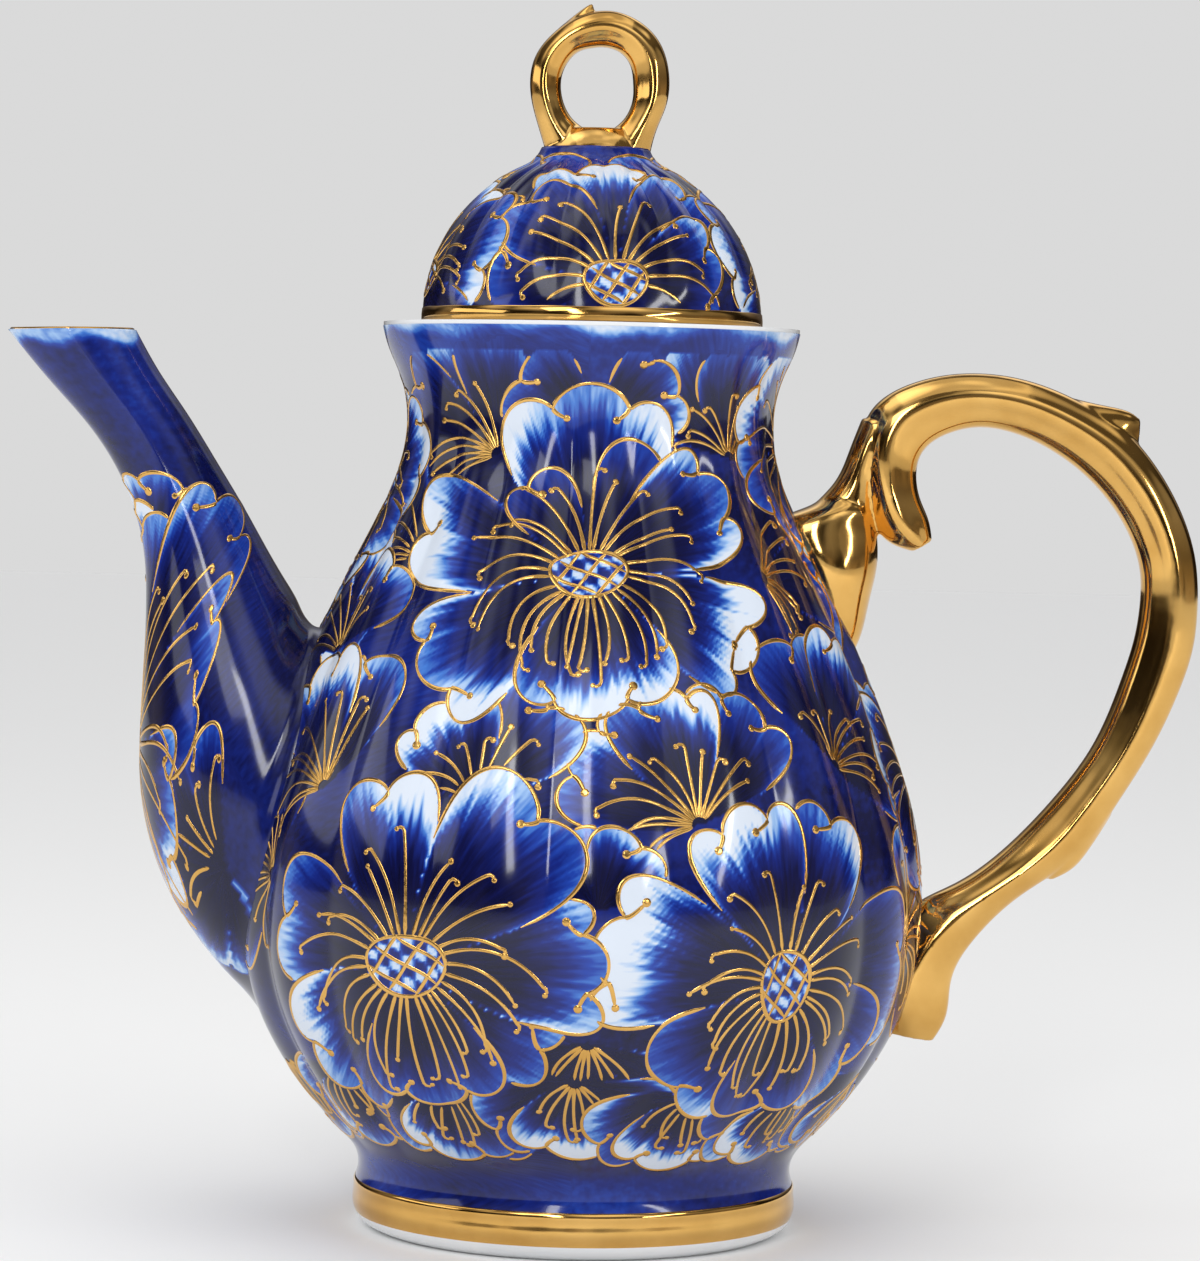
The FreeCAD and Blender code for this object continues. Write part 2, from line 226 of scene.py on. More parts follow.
# ---- meshes ----------------------------------------------
def make_object(name, verts, faces, body, slot, material, replaces=()):
    """A smooth mesh from points in millimetres, riding on its body."""
    mesh = bpy.data.meshes.new(name)
    mesh.from_pydata((np.asarray(verts) * MM).tolist(), [], [list(map(int, f)) for f in faces])
    mesh.update()
    mesh.shade_smooth()
    piece = bpy.data.objects.new(name, mesh)
    bpy.context.scene.collection.objects.link(piece)
    mesh.materials.append(material)
    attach(piece, body)
    if replaces:
        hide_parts(*replaces)
    return piece


def grid_faces(rows, columns, closed=True, first=0):
    """Quads between neighbouring rows of points. A closed grid's last column joins its first."""
    span = columns if closed else columns - 1
    r, c = np.meshgrid(np.arange(rows - 1), np.arange(span), indexing="ij")
    nxt = (c + 1) % columns
    quads = np.stack([r * columns + c, r * columns + nxt, (r + 1) * columns + nxt, (r + 1) * columns + c], -1)
    return quads.reshape(-1, 4) + first


def lathe(outline, count=240):
    """Points and faces of a closed turned ring, from its closed half-outline of (radius, height)."""
    turn = np.radians(np.arange(count) * 360 / count)
    ring = np.array(outline, float)
    x = ring[:, 0, None] * np.sin(turn)
    y = -ring[:, 0, None] * np.cos(turn)
    z = np.repeat(ring[:, 1, None], count, axis=1)
    verts = np.stack([x, y, z], -1).reshape(-1, 3)
    faces = grid_faces(len(ring) + 1, count)
    return verts, faces % len(verts)


# ---- painting --------------------------------------------
class Petal:
    """One petal: it points at `aim` from its flower's heart, with a scalloped end and a white fringe."""

    def __init__(self, aim, length, half, scallops, white):
        self.aim, self.length, self.half, self.scallops, self.white = aim, length, half, scallops, white
        self.phase = rng.uniform(0, 6.28, 4)
        self.skew = rng.uniform(-0.12, 0.12)

    def reach(self, side):
        """Distance from the heart to the petal's edge, side running -1 to 1 across it."""
        side = np.clip(side, -1, 1)
        warped = (side + self.skew * (1 - side ** 2) + 1) / 2
        arcs = np.abs(np.sin(self.scallops * math.pi * warped)) ** 0.6
        return self.length * (1 - np.abs(side) ** 5) ** 0.3 * (0.89 + 0.11 * arcs) + 0.01

    def streaks(self, side):
        """Uneven ends of the brush marks, from about -1 to 1 across the petal."""
        wave = side * self.half * self.length / 125
        total = np.zeros_like(wave)
        for size, pace, phase in zip((1.0, 0.8, 0.3), (3.1, 7.3, 15.7), self.phase):
            total += size * np.sin(pace * wave + phase)
        return total / 2.4


class Flower:
    """A flower or, without a heart, a fan of petals and strokes growing from one point."""

    SPREAD = 1.5    # neighbouring petals overlap by this much more than their half-angles say

    def __init__(self, u, v, petals, heart, strokes, flip=1):
        self.u, self.v, self.heart = u, v, heart
        self.petals = [Petal(*p) for p in petals]
        count, start, end, short, long = strokes
        for petal in self.petals:
            petal.half *= self.SPREAD
            if flip < 0:
                petal.aim = 180 - petal.aim
        if flip < 0:
            start, end = 180 - end, 180 - start
        self.strokes = (count, start, end, short, long)

    def local(self, skin, u, v):
        """Millimetres across and up from the heart, along the skin."""
        across = wrapped(u - self.u) * skin.girth(v)
        return across, (v - self.v) * np.sqrt(skin.rise((v + self.v) / 2))

    def surface(self, skin, across, up):
        """The skin's u and v at that many millimetres across and up from the heart."""
        v = self.v + up / np.sqrt(skin.rise(self.v + up / 2))
        v = np.clip(v, skin.v[0], skin.v[-1])
        return self.u + across / skin.girth(v), v


def petal_hits(flower, skin, u, v):
    """For each petal: the points it covers, how far out they are (0 to 1) and where across it."""
    across, up = flower.local(skin, u, v)
    out = np.hypot(across, up)
    angle = np.degrees(np.arctan2(up, across))
    for petal in flower.petals:
        side = wrapped(angle - petal.aim) / petal.half
        depth = out / petal.reach(side)
        yield petal, (np.abs(side) < 1) & (depth < 1), depth, side, out


def paint(skin, flowers, u, v, ground):
    """Tone of the cobalt at each point, 0 near black and 1 white, and how its brush marks run."""
    heart_tone, wash, fringe = 0.07, 0.36, 0.56
    tone = ground.copy()
    grain = np.stack([u * skin.girth(v) * 0.25, v * 0.25, np.zeros_like(u)], -1)
    number = 0
    for flower in flowers:
        for petal, inside, depth, side, out in petal_hits(flower, skin, u, v):
            number += 1
            d, s = depth[inside], side[inside]
            d = d + 0.045 * petal.streaks(s)
            w = petal.white * (0.72 + 0.42 * np.sin(2.2 * s + petal.phase[3]))
            ragged = d + 0.07 * petal.streaks(s * 1.7 + 3)
            value = heart_tone + wash * smooth(0.52 - 0.10 * w, 1.02 - 0.12 * w, d)
            value += fringe * np.minimum(w, 1.05) * smooth(0.84 - 0.16 * w, 1.06 - 0.12 * w, ragged)
            tone[inside] = value
            across = s * petal.half * petal.length / 150
            grain[inside] = np.stack([across, out[inside] * 0.07, np.full(len(s), number * 3.7)], -1)
    return tone, grain


def top_owner(skin, flowers, u, v):
    """Which flower and petal lies uppermost at each point, -1 where there is none."""
    flower_id = np.full(len(u), -1)
    petal_id = np.full(len(u), -1)
    number = 0
    for i, flower in enumerate(flowers):
        for _, inside, *_ in petal_hits(flower, skin, u, v):
            flower_id[inside] = i
            petal_id[inside] = number
            number += 1
    return flower_id, petal_id


# ---- gold line work --------------------------------------
class GoldLines:
    """Raised gold lines and dots laid on a skin between two values of v, gathered into one mesh."""

    # across the line, from edge to edge, and the height there
    PROFILE = ((-1.0, -0.05), (-0.72, 0.10), (0.0, 0.13), (0.72, 0.10), (1.0, -0.05))

    def __init__(self, skin, low, high):
        self.skin, self.low, self.high = skin, low, high
        self.verts, self.faces, self.count = [], [], 0

    def add(self, verts, faces):
        self.verts.append(verts)
        self.faces.extend((faces + self.count).tolist())
        self.count += len(verts)

    def stroke(self, u, v, width):
        """A line through the points, width wide at each one."""
        if len(u) < 3:
            return
        skin = self.skin
        girth, rise = skin.girth(v), skin.rise(v)
        run_a, run_b = np.gradient(u) * girth, np.gradient(v) * rise
        size = np.hypot(run_a, run_b) + 1e-9
        side_a, side_b = -run_b / size, run_a / size
        ends = np.ones(len(u))
        ends[[0, -1]] = 0.35
        rings = []
        for k, lift in self.PROFILE:
            off = k * width * ends / 2
            vv = np.clip(v + off * side_b / rise, self.low, self.high)
            rings.append(skin.point(u + off * side_a / girth, vv, lift * np.minimum(width, 1.2)))
        verts = np.stack(rings, 1).reshape(-1, 3)
        self.add(verts, grid_faces(len(u), len(self.PROFILE), closed=False))

    def dot(self, u, v, radius):
        """A round bead of gold."""
        if not self.low + radius < v < self.high - radius:
            return
        skin = self.skin
        turn = np.radians(np.arange(10) * 36)
        rings = [np.array([[u, v, 0.24]])]
        for part, lift in ((0.55, 0.2), (0.9, 0.08), (1.0, -0.05)):
            uu = u + part * radius * np.cos(turn) / skin.girth(v)
            vv = v + part * radius * np.sin(turn) / skin.rise(v)
            rings.append(np.stack([uu, vv, np.full(10, lift)], -1))
        flat = np.concatenate(rings)
        verts = skin.point(flat[:, 0], flat[:, 1], flat[:, 2] * min(radius, 1.0))
        fan = [[0, 1 + i, 1 + (i + 1) % 10, 0] for i in range(10)]
        self.add(verts, np.array(fan))
        self.add(verts[1:], grid_faces(3, 10))

    def build(self, name, body):
        faces = [f[:3] if f[0] == f[3] else f for f in self.faces]
        return make_object(name, np.concatenate(self.verts), faces, body, "gilding", gold_paint)


def visible_runs(mask):
    """Stretches of four or more consecutive true entries."""
    edges = np.flatnonzero(np.diff(np.concatenate([[0], mask.astype(int), [0]])))
    return [(a, b) for a, b in zip(edges[::2], edges[1::2]) if b - a >= 4]


def draw_outlines(lines, flowers):
    """Gold along the outer half of every petal's visible edge, with a hook at each visible notch."""
    skin = lines.skin
    number = 0
    for flower in flowers:
        for petal in flower.petals:
            side = np.linspace(-0.995, 0.995, 90)
            angle = np.radians(petal.aim + side * petal.half)
            reach = petal.reach(side)
            u, v = flower.surface(skin, reach * np.cos(angle), reach * np.sin(angle))
            ui, vi = flower.surface(skin, reach * 0.97 * np.cos(angle), reach * 0.97 * np.sin(angle))
            seen = top_owner(skin, flowers, ui, vi)[1] == number
            seen &= (reach > 0.5 * petal.length) & (v > lines.low + 1) & (v < lines.high - 1)
            width = 0.80 + 0.16 * np.sin(side * 9 + petal.phase[0])
            for a, b in visible_runs(seen):
                lines.stroke(u[a:b], v[a:b], width[a:b])
            warp = (side + petal.skew * (1 - side ** 2) + 1) / 2 * petal.scallops
            for notch in range(1, petal.scallops):
                k = int(np.argmin(np.abs(warp - notch)))
                if seen[k]:
                    hook(lines, flower, petal, side[k], reach[k])
            number += 1


def hook(lines, flower, petal, side, reach):
    """The short inward tail and bead where two scallops meet."""
    angle = petal.aim + side * petal.half
    inward = np.linspace(0, 1, 7)
    bend = rng.choice((-1, 1)) * rng.uniform(3, 8)
    turn = np.radians(angle + bend * inward ** 2)
    out = reach - inward * rng.uniform(1.8, 3.0)
    u, v = flower.surface(lines.skin, out * np.cos(turn), out * np.sin(turn))
    lines.stroke(u, v, np.linspace(1.1, 0.8, 7))
    lines.dot(u[-1], v[-1], rng.uniform(0.65, 0.95))


def draw_strokes(lines, flowers):
    """Curved strokes from a heart or a fan's foot. Two in three are hooked, and each ends in a bead."""
    skin = lines.skin
    for i, flower in enumerate(flowers):
        count, start, end, short, long = flower.strokes
        full = end - start >= 360
        first_gap, gaps = (0.5, count) if full else (0, count - 1)
        for k in range(count):
            aim = start + (end - start) * (k + first_gap) / max(gaps, 1)
            aim += rng.uniform(-3, 3)
            length = rng.uniform(short, long)
            t = np.linspace(0, 1, 16)
            droop = -math.cos(math.radians(aim))
            lean = rng.uniform(-7, 7) + 20 * droop
            turn = np.radians(aim + lean * t ** 2)
            foot = 1.5
            if flower.heart:
                a, b = flower.heart
                foot = a * b / math.hypot(b * math.cos(math.radians(aim)), a * math.sin(math.radians(aim)))
            out = foot + length * t
            across, up = out * np.cos(turn), out * np.sin(turn)
            if k % 3:
                curl = np.radians(aim + lean + np.array([30, 75, 120]) * (1 if droop > 0 else -1))
                across = np.append(across, across[-1] + np.cumsum(np.cos(curl)) * 0.7)
                up = np.append(up, up[-1] + np.cumsum(np.sin(curl)) * 0.7)
            u, v = flower.surface(skin, across, up)
            owner = top_owner(skin, flowers, u, v)[0]
            seen = (owner <= i) & (v > lines.low + 1) & (v < lines.high - 1)
            runs = visible_runs(seen)
            for a, b in runs:
                width = np.interp(np.arange(a, b), [0, 5, len(u) - 1], [0.95, 0.62, 0.75])
                lines.stroke(u[a:b], v[a:b], width)
            if runs and runs[-1][1] == len(u):
                lines.dot(u[-1], v[-1], rng.uniform(0.5, 0.75))


def draw_hearts(lines, flowers):
    """The crosshatched gold oval at each flower's heart."""
    skin = lines.skin
    for flower in flowers:
        if not flower.heart:
            continue
        a, b = flower.heart
        turn = np.radians(np.linspace(0, 366, 46))
        wobble = 1 + 0.05 * np.sin(turn * 3)
        u, v = flower.surface(skin, a * np.cos(turn) * wobble, b * np.sin(turn) * wobble)
        lines.stroke(u, v, 0.85 + 0.2 * np.sin(turn * 2))
        for lean in (62, -38):
            c, s = math.cos(math.radians(lean)), math.sin(math.radians(lean))
            for off in (-2 / 3 * 0.92, 0.0, 2 / 3 * 0.92):
                half = math.sqrt(1 - off ** 2) * 0.95
                t = np.linspace(-half, half, 9)
                x, y = c * t - s * off, s * t + c * off
                u, v = flower.surface(skin, a * x, b * (y + 0.05 * np.sin(3 * t)))
                lines.stroke(u, v, np.full(9, 0.8))


# ---- flowers ---------------------------------------------
# Petals are (aim, length, half-angle, scallops, white), drawn in order, the last one uppermost.
TOP_PETALS = [(92, 38, 26, 3, 1.7), (60, 29, 20, 2, 0.15), (32, 34, 21, 3, 1.2), (-24, 39, 16, 3, 1.3),
              (215, 40, 17, 3, 1.5), (166, 40, 17, 2, 1.3), (276, 29, 32, 3, 0.95), (122, 23, 18, 2, 0.1)]
LEFT_PETALS = [(104, 37, 18, 2, 1.2), (166, 36, 20, 2, 0.7), (-30, 33, 17, 2, 1.0), (2, 40, 18, 3, 1.1),
               (50, 42, 21, 2, 0.9), (222, 36, 24, 3, 1.1), (278, 29, 30, 3, 0.3)]
RIGHT_PETALS = [(66, 36, 17, 2, 0.8), (167, 41, 20, 3, 1.4), (2, 41, 22, 2, 0.6), (107, 36, 20, 3, 1.0),
                (323, 33, 24, 2, 0.6), (225, 30, 24, 2, 0.9), (274, 28, 24, 2, 0.2)]
SIDE_PETALS = [(90, 24, 34, 3, 0.9), (20, 26, 30, 3, 0.95), (160, 26, 30, 3, 0.95), (-50, 26, 30, 3, 0.8),
               (230, 26, 30, 3, 0.8), (-90, 22, 28, 2, 0.5)]
FAN_DOWN = [(-145, 21, 26, 2, 0.8), (-35, 21, 26, 2, 0.7), (-90, 19, 40, 3, 1.15)]
FAN_LEFT = [(212, 32, 26, 2, 0.9), (148, 33, 28, 3, 0.85), (180, 29, 22, 2, 0.4)]
FAN_RIGHT = [(-32, 32, 26, 2, 0.9), (32, 33, 28, 3, 0.85), (0, 29, 22, 2, 0.4)]


# The groups of petals behind the three large flowers: turn, height, petals, strokes. Strokes are how many,
# between which directions, and how short and long.
NO_STROKES = (0, 0, 0, 1, 1)
BODY_FANS = [
    (-28, 158, [(125, 27, 26, 3, 0.6), (165, 32, 26, 3, 0.5), (95, 24, 20, 2, 0.4)], (9, 105, 200, 11, 18)),
    (47, 158, [(30, 24, 26, 3, 0.4), (130, 29, 24, 2, 0.9), (88, 23, 26, 3, 0.8)], (9, 25, 150, 8, 13)),
    (-46, 137, FAN_LEFT, (10, 120, 245, 9, 14)),
    (46, 134, FAN_RIGHT, (9, -65, 65, 9, 14)),
    (-62, 74, [(150, 27, 28, 3, 0.9), (95, 25, 26, 2, 0.6), (205, 26, 28, 3, 0.8)], (11, 85, 235, 11, 17)),
    (72, 62, [(35, 26, 28, 3, 0.8), (-30, 25, 28, 2, 0.7), (85, 24, 26, 2, 1.1)], (11, -50, 100, 10, 16)),
    (-64, 118, [(110, 26, 26, 3, 1.3), (60, 22, 26, 2, 0.9), (150, 26, 26, 3, 1.0)], (8, 60, 170, 9, 14)),
    (-50, 92, [(165, 30, 26, 3, 0.7), (85, 28, 24, 2, 1.3), (125, 30, 26, 3, 1.2)], (11, 75, 200, 12, 19)),
    (52, 98, [(100, 27, 26, 2, 0.6), (50, 30, 26, 3, 0.85), (2, 28, 26, 2, 0.7)], (9, -10, 110, 9, 14)),
    (20, 88, [(150, 28, 24, 3, 1.0), (60, 28, 26, 3, 0.8), (105, 27, 24, 3, 1.1)], (13, 45, 200, 11, 18)),
    (-18, 91, [(60, 25, 26, 2, 1.0), (118, 22, 30, 3, 1.2)], (9, 25, 150, 10, 16)),
    (3, 72, [(120, 16, 30, 2, 0.9), (60, 16, 30, 2, 0.8)], NO_STROKES),
    (2, 47, [(235, 24, 30, 2, 0.5), (305, 22, 30, 2, 0.9), (270, 22, 26, 2, 0.3)], (8, 215, 325, 9, 14)),
    (2, 163, [(145, 20, 28, 2, 0.3), (35, 20, 28, 3, 0.8)], NO_STROKES),
]
for low_turn, low_height in ((-72, 37), (-50, 38), (-25, 37), (0, 39), (22, 36), (46, 36), (70, 37)):
    BODY_FANS.append((low_turn, low_height, FAN_DOWN, (7, 215, 325, 8, 13)))
# the three large flowers: turn, height, petals, heart's half-sizes, strokes
BODY_MAIN = [(0.7, 135, TOP_PETALS, (7.4, 4.6), (30, 0, 360, 12, 18)),
             (36, 57, RIGHT_PETALS, (5.6, 7.0), (27, 0, 360, 11, 18)),
             (-28.5, 60, LEFT_PETALS, (8.4, 5.8), (30, 0, 360, 12, 20))]


def body_half(turn, flip):
    """The flowers of one broad side of the pot, back to front. flip -1 gives the mirror image."""
    fans = [Flower(turn + flip * u, v, petals, None, strokes, flip) for u, v, petals, strokes in BODY_FANS]
    main = [Flower(turn + flip * u, v, *rest, flip) for u, v, *rest in BODY_MAIN]
    return fans, main


front_fans, front_main = body_half(0, 1)
back_fans, back_main = body_half(180, -1)
sides = [Flower(-94, 150, SIDE_PETALS, (6, 5), (20, 0, 360, 9, 14)),
         Flower(90, 160, SIDE_PETALS, (5.5, 5), (20, 0, 360, 9, 14)),
         Flower(90, 93, SIDE_PETALS, (6, 5), (22, 0, 360, 10, 15))]
BODY_FLOWERS = front_fans + back_fans + sides + back_main + front_main

DOME_MAIN = [(165, 27, 28, 2, 0.6), (90, 31, 30, 3, 1.0), (135, 27, 24, 2, 0.3), (48, 30, 22, 2, 0.5),
             (12, 25, 26, 3, 0.6)]
DOME_FAN = [(130, 22, 40, 3, 0.8), (50, 22, 40, 3, 0.7), (90, 24, 36, 2, 0.4)]
DOME_FLOWERS = [Flower(u, 20, DOME_FAN, None, (9, 20, 160, 7, 12)) for u in (-55, 62, 125, 235)]
DOME_FLOWERS += [Flower(8, 8, DOME_MAIN, (6.2, 4.6), (13, -5, 185, 11, 17)),
                 Flower(188, 8, DOME_MAIN, (6.2, 4.6), (13, -5, 185, 11, 17), flip=-1),
                 Flower(98, 9, SIDE_PETALS, (4.6, 3.6), (13, 0, 180, 8, 13)),
                 Flower(-82, 9, SIDE_PETALS, (4.6, 3.6), (13, 0, 180, 8, 13))]

SPOUT_FOOT = [(60, 24, 30, 3, 0.9), (10, 24, 30, 3, 1.0), (110, 20, 26, 2, 0.6)]
SPOUT_LOW = [(110, 20, 24, 2, 0.6), (-28, 22, 22, 2, 0.9), (62, 24, 26, 3, 0.5), (18, 27, 26, 3, 1.0)]
# the viewer's side of the spout, drawn again mirrored: turn, distance along, petals, strokes
SPOUT_SIDE = [(52, 2, SPOUT_FOOT, (7, 0, 120, 9, 14)),
              (26, 18, SPOUT_LOW, (9, -30, 115, 9, 15)),
              (62, 68, [(60, 19, 30, 2, 1.2), (118, 20, 32, 3, 1.3)], NO_STROKES)]
SPOUT_MAIN = [(90, 34, 24, 3, 0.5), (36, 42, 22, 3, 0.6), (144, 42, 22, 3, 0.6), (0, 37, 18, 3, 0.4),
              (180, 37, 18, 3, 0.4), (-38, 29, 22, 3, 1.4), (218, 29, 22, 3, 1.4), (-90, 22, 30, 2, 0.6)]
SPOUT_FLOWERS = [Flower(90 - (90 - u) * flip, v, petals, None, strokes, flip=flip)
                 for u, v, petals, strokes in SPOUT_SIDE for flip in (1, -1)]
SPOUT_FLOWERS.append(Flower(90, 47, SPOUT_MAIN, (5.0, 4.2), (30, 0, 360, 16, 26)))


# ---- materials -------------------------------------------
def new_material(name):
    """A material with its nodes, links and main shader."""
    material = bpy.data.materials.new(name)
    material.use_nodes = True
    nodes, links = material.node_tree.nodes, material.node_tree.links
    return material, nodes, links, nodes["Principled BSDF"]


def add(nodes, kind, **settings):
    """A new node; each setting is an input's value or, if no input has that name, a property."""
    node = nodes.new(kind)
    for key, value in settings.items():
        if key in node.inputs:
            node.inputs[key].default_value = value
        else:
            setattr(node, key, value)
    return node


def colour_ramp(nodes, stops):
    """A colour ramp through (position, colour) stops."""
    ramp = nodes.new("ShaderNodeValToRGB")
    elements = ramp.color_ramp.elements
    while len(elements) < len(stops):
        elements.new(0.5)
    for element, (position, colour) in zip(elements, stops):
        element.position = position
        element.color = (*colour, 1)
    return ramp


def uneven_gloss(nodes, links, shader, low, high, scale):
    """Slight changes of roughness over the surface."""
    place = nodes.new("ShaderNodeTexCoord")
    noise = add(nodes, "ShaderNodeTexNoise", Scale=scale, Detail=4.0)
    spread = add(nodes, "ShaderNodeMapRange")
    spread.inputs["To Min"].default_value = low
    spread.inputs["To Max"].default_value = high
    links.new(place.outputs["Object"], noise.inputs["Vector"])
    links.new(noise.outputs["Fac"], spread.inputs["Value"])
    links.new(spread.outputs["Result"], shader.inputs["Roughness"])
    return place


def soft_bump(nodes, links, shader, place, scale, strength, distance):
    """Gentle unevenness of the surface."""
    noise = add(nodes, "ShaderNodeTexNoise", Scale=scale, Detail=2.0)
    bump = add(nodes, "ShaderNodeBump", Strength=strength, Distance=distance)
    links.new(place.outputs["Object"], noise.inputs["Vector"])
    links.new(noise.outputs["Fac"], bump.inputs["Height"])
    links.new(bump.outputs["Normal"], shader.inputs["Normal"])


def mottled(nodes, links, shader, place, scale, detail, dark, pale):
    """A base colour that drifts between two close colours."""
    tint = add(nodes, "ShaderNodeTexNoise", Scale=scale, Detail=detail)
    ramp = colour_ramp(nodes, [(0.3, dark), (0.7, pale)])
    links.new(place.outputs["Object"], tint.inputs["Vector"])
    links.new(tint.outputs["Fac"], ramp.inputs["Fac"])
    links.new(ramp.outputs["Color"], shader.inputs["Base Color"])


def tone_change(nodes, amount):
    """A node that turns noise into a change of tone, half of amount either way."""
    change = add(nodes, "ShaderNodeMath", operation="MULTIPLY_ADD")
    change.inputs[1].default_value = amount
    change.inputs[2].default_value = -amount / 2
    return change


# tone and colour, from the darkest cobalt to white
COBALT = [(0.0, (0.0025, 0.0026, 0.018)), (0.16, (0.0035, 0.005, 0.050)), (0.36, (0.006, 0.016, 0.17)),
          (0.54, (0.012, 0.048, 0.34)), (0.68, (0.055, 0.18, 0.56)), (0.82, (0.30, 0.47, 0.74)),
          (0.96, (0.62, 0.68, 0.77))]


def cobalt_paint():
    """Cobalt from thin washes to near black, over white, under a wet-looking glaze."""
    material, nodes, links, shader = new_material("cobalt_under_glaze")
    tone = add(nodes, "ShaderNodeAttribute", attribute_name="tone")
    grain = add(nodes, "ShaderNodeAttribute", attribute_name="grain")
    brush = add(nodes, "ShaderNodeTexNoise", Scale=2.2, Detail=1.5, Roughness=0.5)
    cloud = add(nodes, "ShaderNodeTexNoise", Scale=140.0, Detail=3.0)
    brushed = tone_change(nodes, 0.30)
    clouded = tone_change(nodes, 0.12)
    streaky = add(nodes, "ShaderNodeMath", operation="ADD")
    total = add(nodes, "ShaderNodeMath", operation="ADD")
    ramp = colour_ramp(nodes, COBALT)
    links.new(grain.outputs["Vector"], brush.inputs["Vector"])
    links.new(brush.outputs["Fac"], brushed.inputs[0])
    links.new(tone.outputs["Fac"], streaky.inputs[0])
    links.new(brushed.outputs[0], streaky.inputs[1])
    links.new(streaky.outputs[0], total.inputs[0])
    links.new(clouded.outputs[0], total.inputs[1])
    links.new(total.outputs[0], ramp.inputs["Fac"])
    links.new(ramp.outputs["Color"], shader.inputs["Base Color"])
    place = uneven_gloss(nodes, links, shader, 0.08, 0.15, 60)
    links.new(place.outputs["Object"], cloud.inputs["Vector"])
    links.new(cloud.outputs["Fac"], clouded.inputs[0])
    soft_bump(nodes, links, shader, place, 55, 0.12, 0.0006)
    shader.inputs["IOR"].default_value = 1.42
    shader.inputs["Coat Weight"].default_value = 0.15
    shader.inputs["Coat Roughness"].default_value = 0.03
    return material


def white_glaze():
    """Clear glaze over white porcelain."""
    material, nodes, links, shader = new_material("white_glaze")
    place = uneven_gloss(nodes, links, shader, 0.08, 0.16, 50)
    mottled(nodes, links, shader, place, 30.0, 3.0, (0.70, 0.72, 0.74), (0.80, 0.81, 0.82))
    soft_bump(nodes, links, shader, place, 60, 0.1, 0.0005)
    shader.inputs["Coat Weight"].default_value = 0.4
    shader.inputs["Coat Roughness"].default_value = 0.05
    return material


def gilding(name, rough_low, rough_high, bump_scale, bump_strength):
    """Fired gold, bright and slightly uneven from the brush."""
    material, nodes, links, shader = new_material(name)
    shader.inputs["Metallic"].default_value = 1.0
    place = uneven_gloss(nodes, links, shader, rough_low, rough_high, 90)
    mottled(nodes, links, shader, place, 70.0, 4.0, (0.64, 0.35, 0.085), (0.83, 0.50, 0.15))
    soft_bump(nodes, links, shader, place, bump_scale, bump_strength, 0.0005)
    return material


cobalt = cobalt_paint()
white = white_glaze()
gold = gilding("bright_gold", 0.05, 0.15, 75, 0.30)
gold_paint = gilding("painted_gold", 0.14, 0.28, 420, 0.25)


# ---- painted skins ---------------------------------------
def painted_piece(name, skin, flowers, ground, field, body, columns, extra=None, replaces=()):
    """A dense grid over the skin, with the cobalt's tone on every point.

    Petals keep to the field of v, and ground gives the tone elsewhere. extra adds points that aren't
    painted, with their faces and tone.
    """
    rows = skin.rows(STEP)
    u, v = np.meshgrid(np.arange(columns) * 360 / columns, rows)
    u, v = u.ravel(), v.ravel()
    verts = skin.point(u, v)
    bare = ground(u, v)
    tone, grain = paint(skin, flowers, u, v, bare)
    tone = heart_tones(skin, flowers, u, v, tone)
    tone = np.where((v < field[0]) | (v > field[1]), bare, tone)
    faces = grid_faces(len(rows), columns)
    if extra is not None:
        more_verts, more_faces, more_tone = extra(verts, columns, len(rows))
        faces = np.concatenate([faces, more_faces])
        verts = np.concatenate([verts, more_verts])
        tone = np.concatenate([tone, more_tone])
        grain = np.concatenate([grain, more_verts * 0.2])
    piece = make_object(name, verts, faces, body, "painted_glaze", cobalt, replaces)
    for attribute, kind, key, values in (("tone", "FLOAT", "value", tone),
                                         ("grain", "FLOAT_VECTOR", "vector", grain)):
        store = piece.data.attributes.new(attribute, kind, "POINT")
        store.data.foreach_set(key, values.astype(np.float32).ravel())


def heart_tones(skin, flowers, u, v, tone):
    """Small white and blue cells inside each heart."""
    for flower in flowers:
        if flower.heart:
            across, up = flower.local(skin, u, v)
            a, b = flower.heart
            inside = (across / a) ** 2 + (up / b) ** 2 < 1
            cell = np.sin(across[inside] * 1.25 + 1) * np.sin(up[inside] * 1.5 + 0.6 * across[inside])
            tone[inside] = 0.30 + 0.62 * smooth(-0.35, 0.45, cell)
    return tone


def body_ground(u, v):
    """Navy, a little paler over the foot, with a blue band and a ragged white edge at the rim."""
    wave = np.sin(np.radians(u * 7)) * 0.7 + np.sin(np.radians(u * 17 + 40)) * 0.5
    tone = 0.24 + 0.12 * np.sin(np.radians(u * 5 + v * 4)) * np.sin(np.radians(v * 9 + u))
    tone += 0.10 * smooth(19, 16, v)
    tone += 0.14 * smooth(169, 176, v + wave)
    tone += (0.42 + 0.16 * np.sin(np.radians(u * 5 + 70))) * smooth(180.6, 184.2, v + 1.1 * wave)
    return tone


def dome_ground(u, v):
    """Navy, paler round the finial's foot."""
    top = dome_skin.v[-1]
    return 0.14 + 0.2 * smooth(top - 9, top - 5, v) + 0.05 * np.sin(np.radians(u * 7 + v * 11))


def spout_ground(u, v):
    """Plain cobalt, paler over the upper spout and nearly white at the lip."""
    end = spout_skin.v[-1]
    tone = 0.20 + 0.12 * smooth(80, 110, v) + 0.06 * np.sin(np.radians(u * 3 + v * 5))
    return tone + 0.5 * smooth(end - 4.5, end - 1.2, v + np.sin(np.radians(u * 5)))


def bridge(first, columns):
    """Quads from a grid's last row of points to the row that starts at index first, straight after it."""
    low = first + np.arange(columns)
    top = low - columns
    return np.stack([top, np.roll(top, -1), np.roll(low, -1), low], -1)


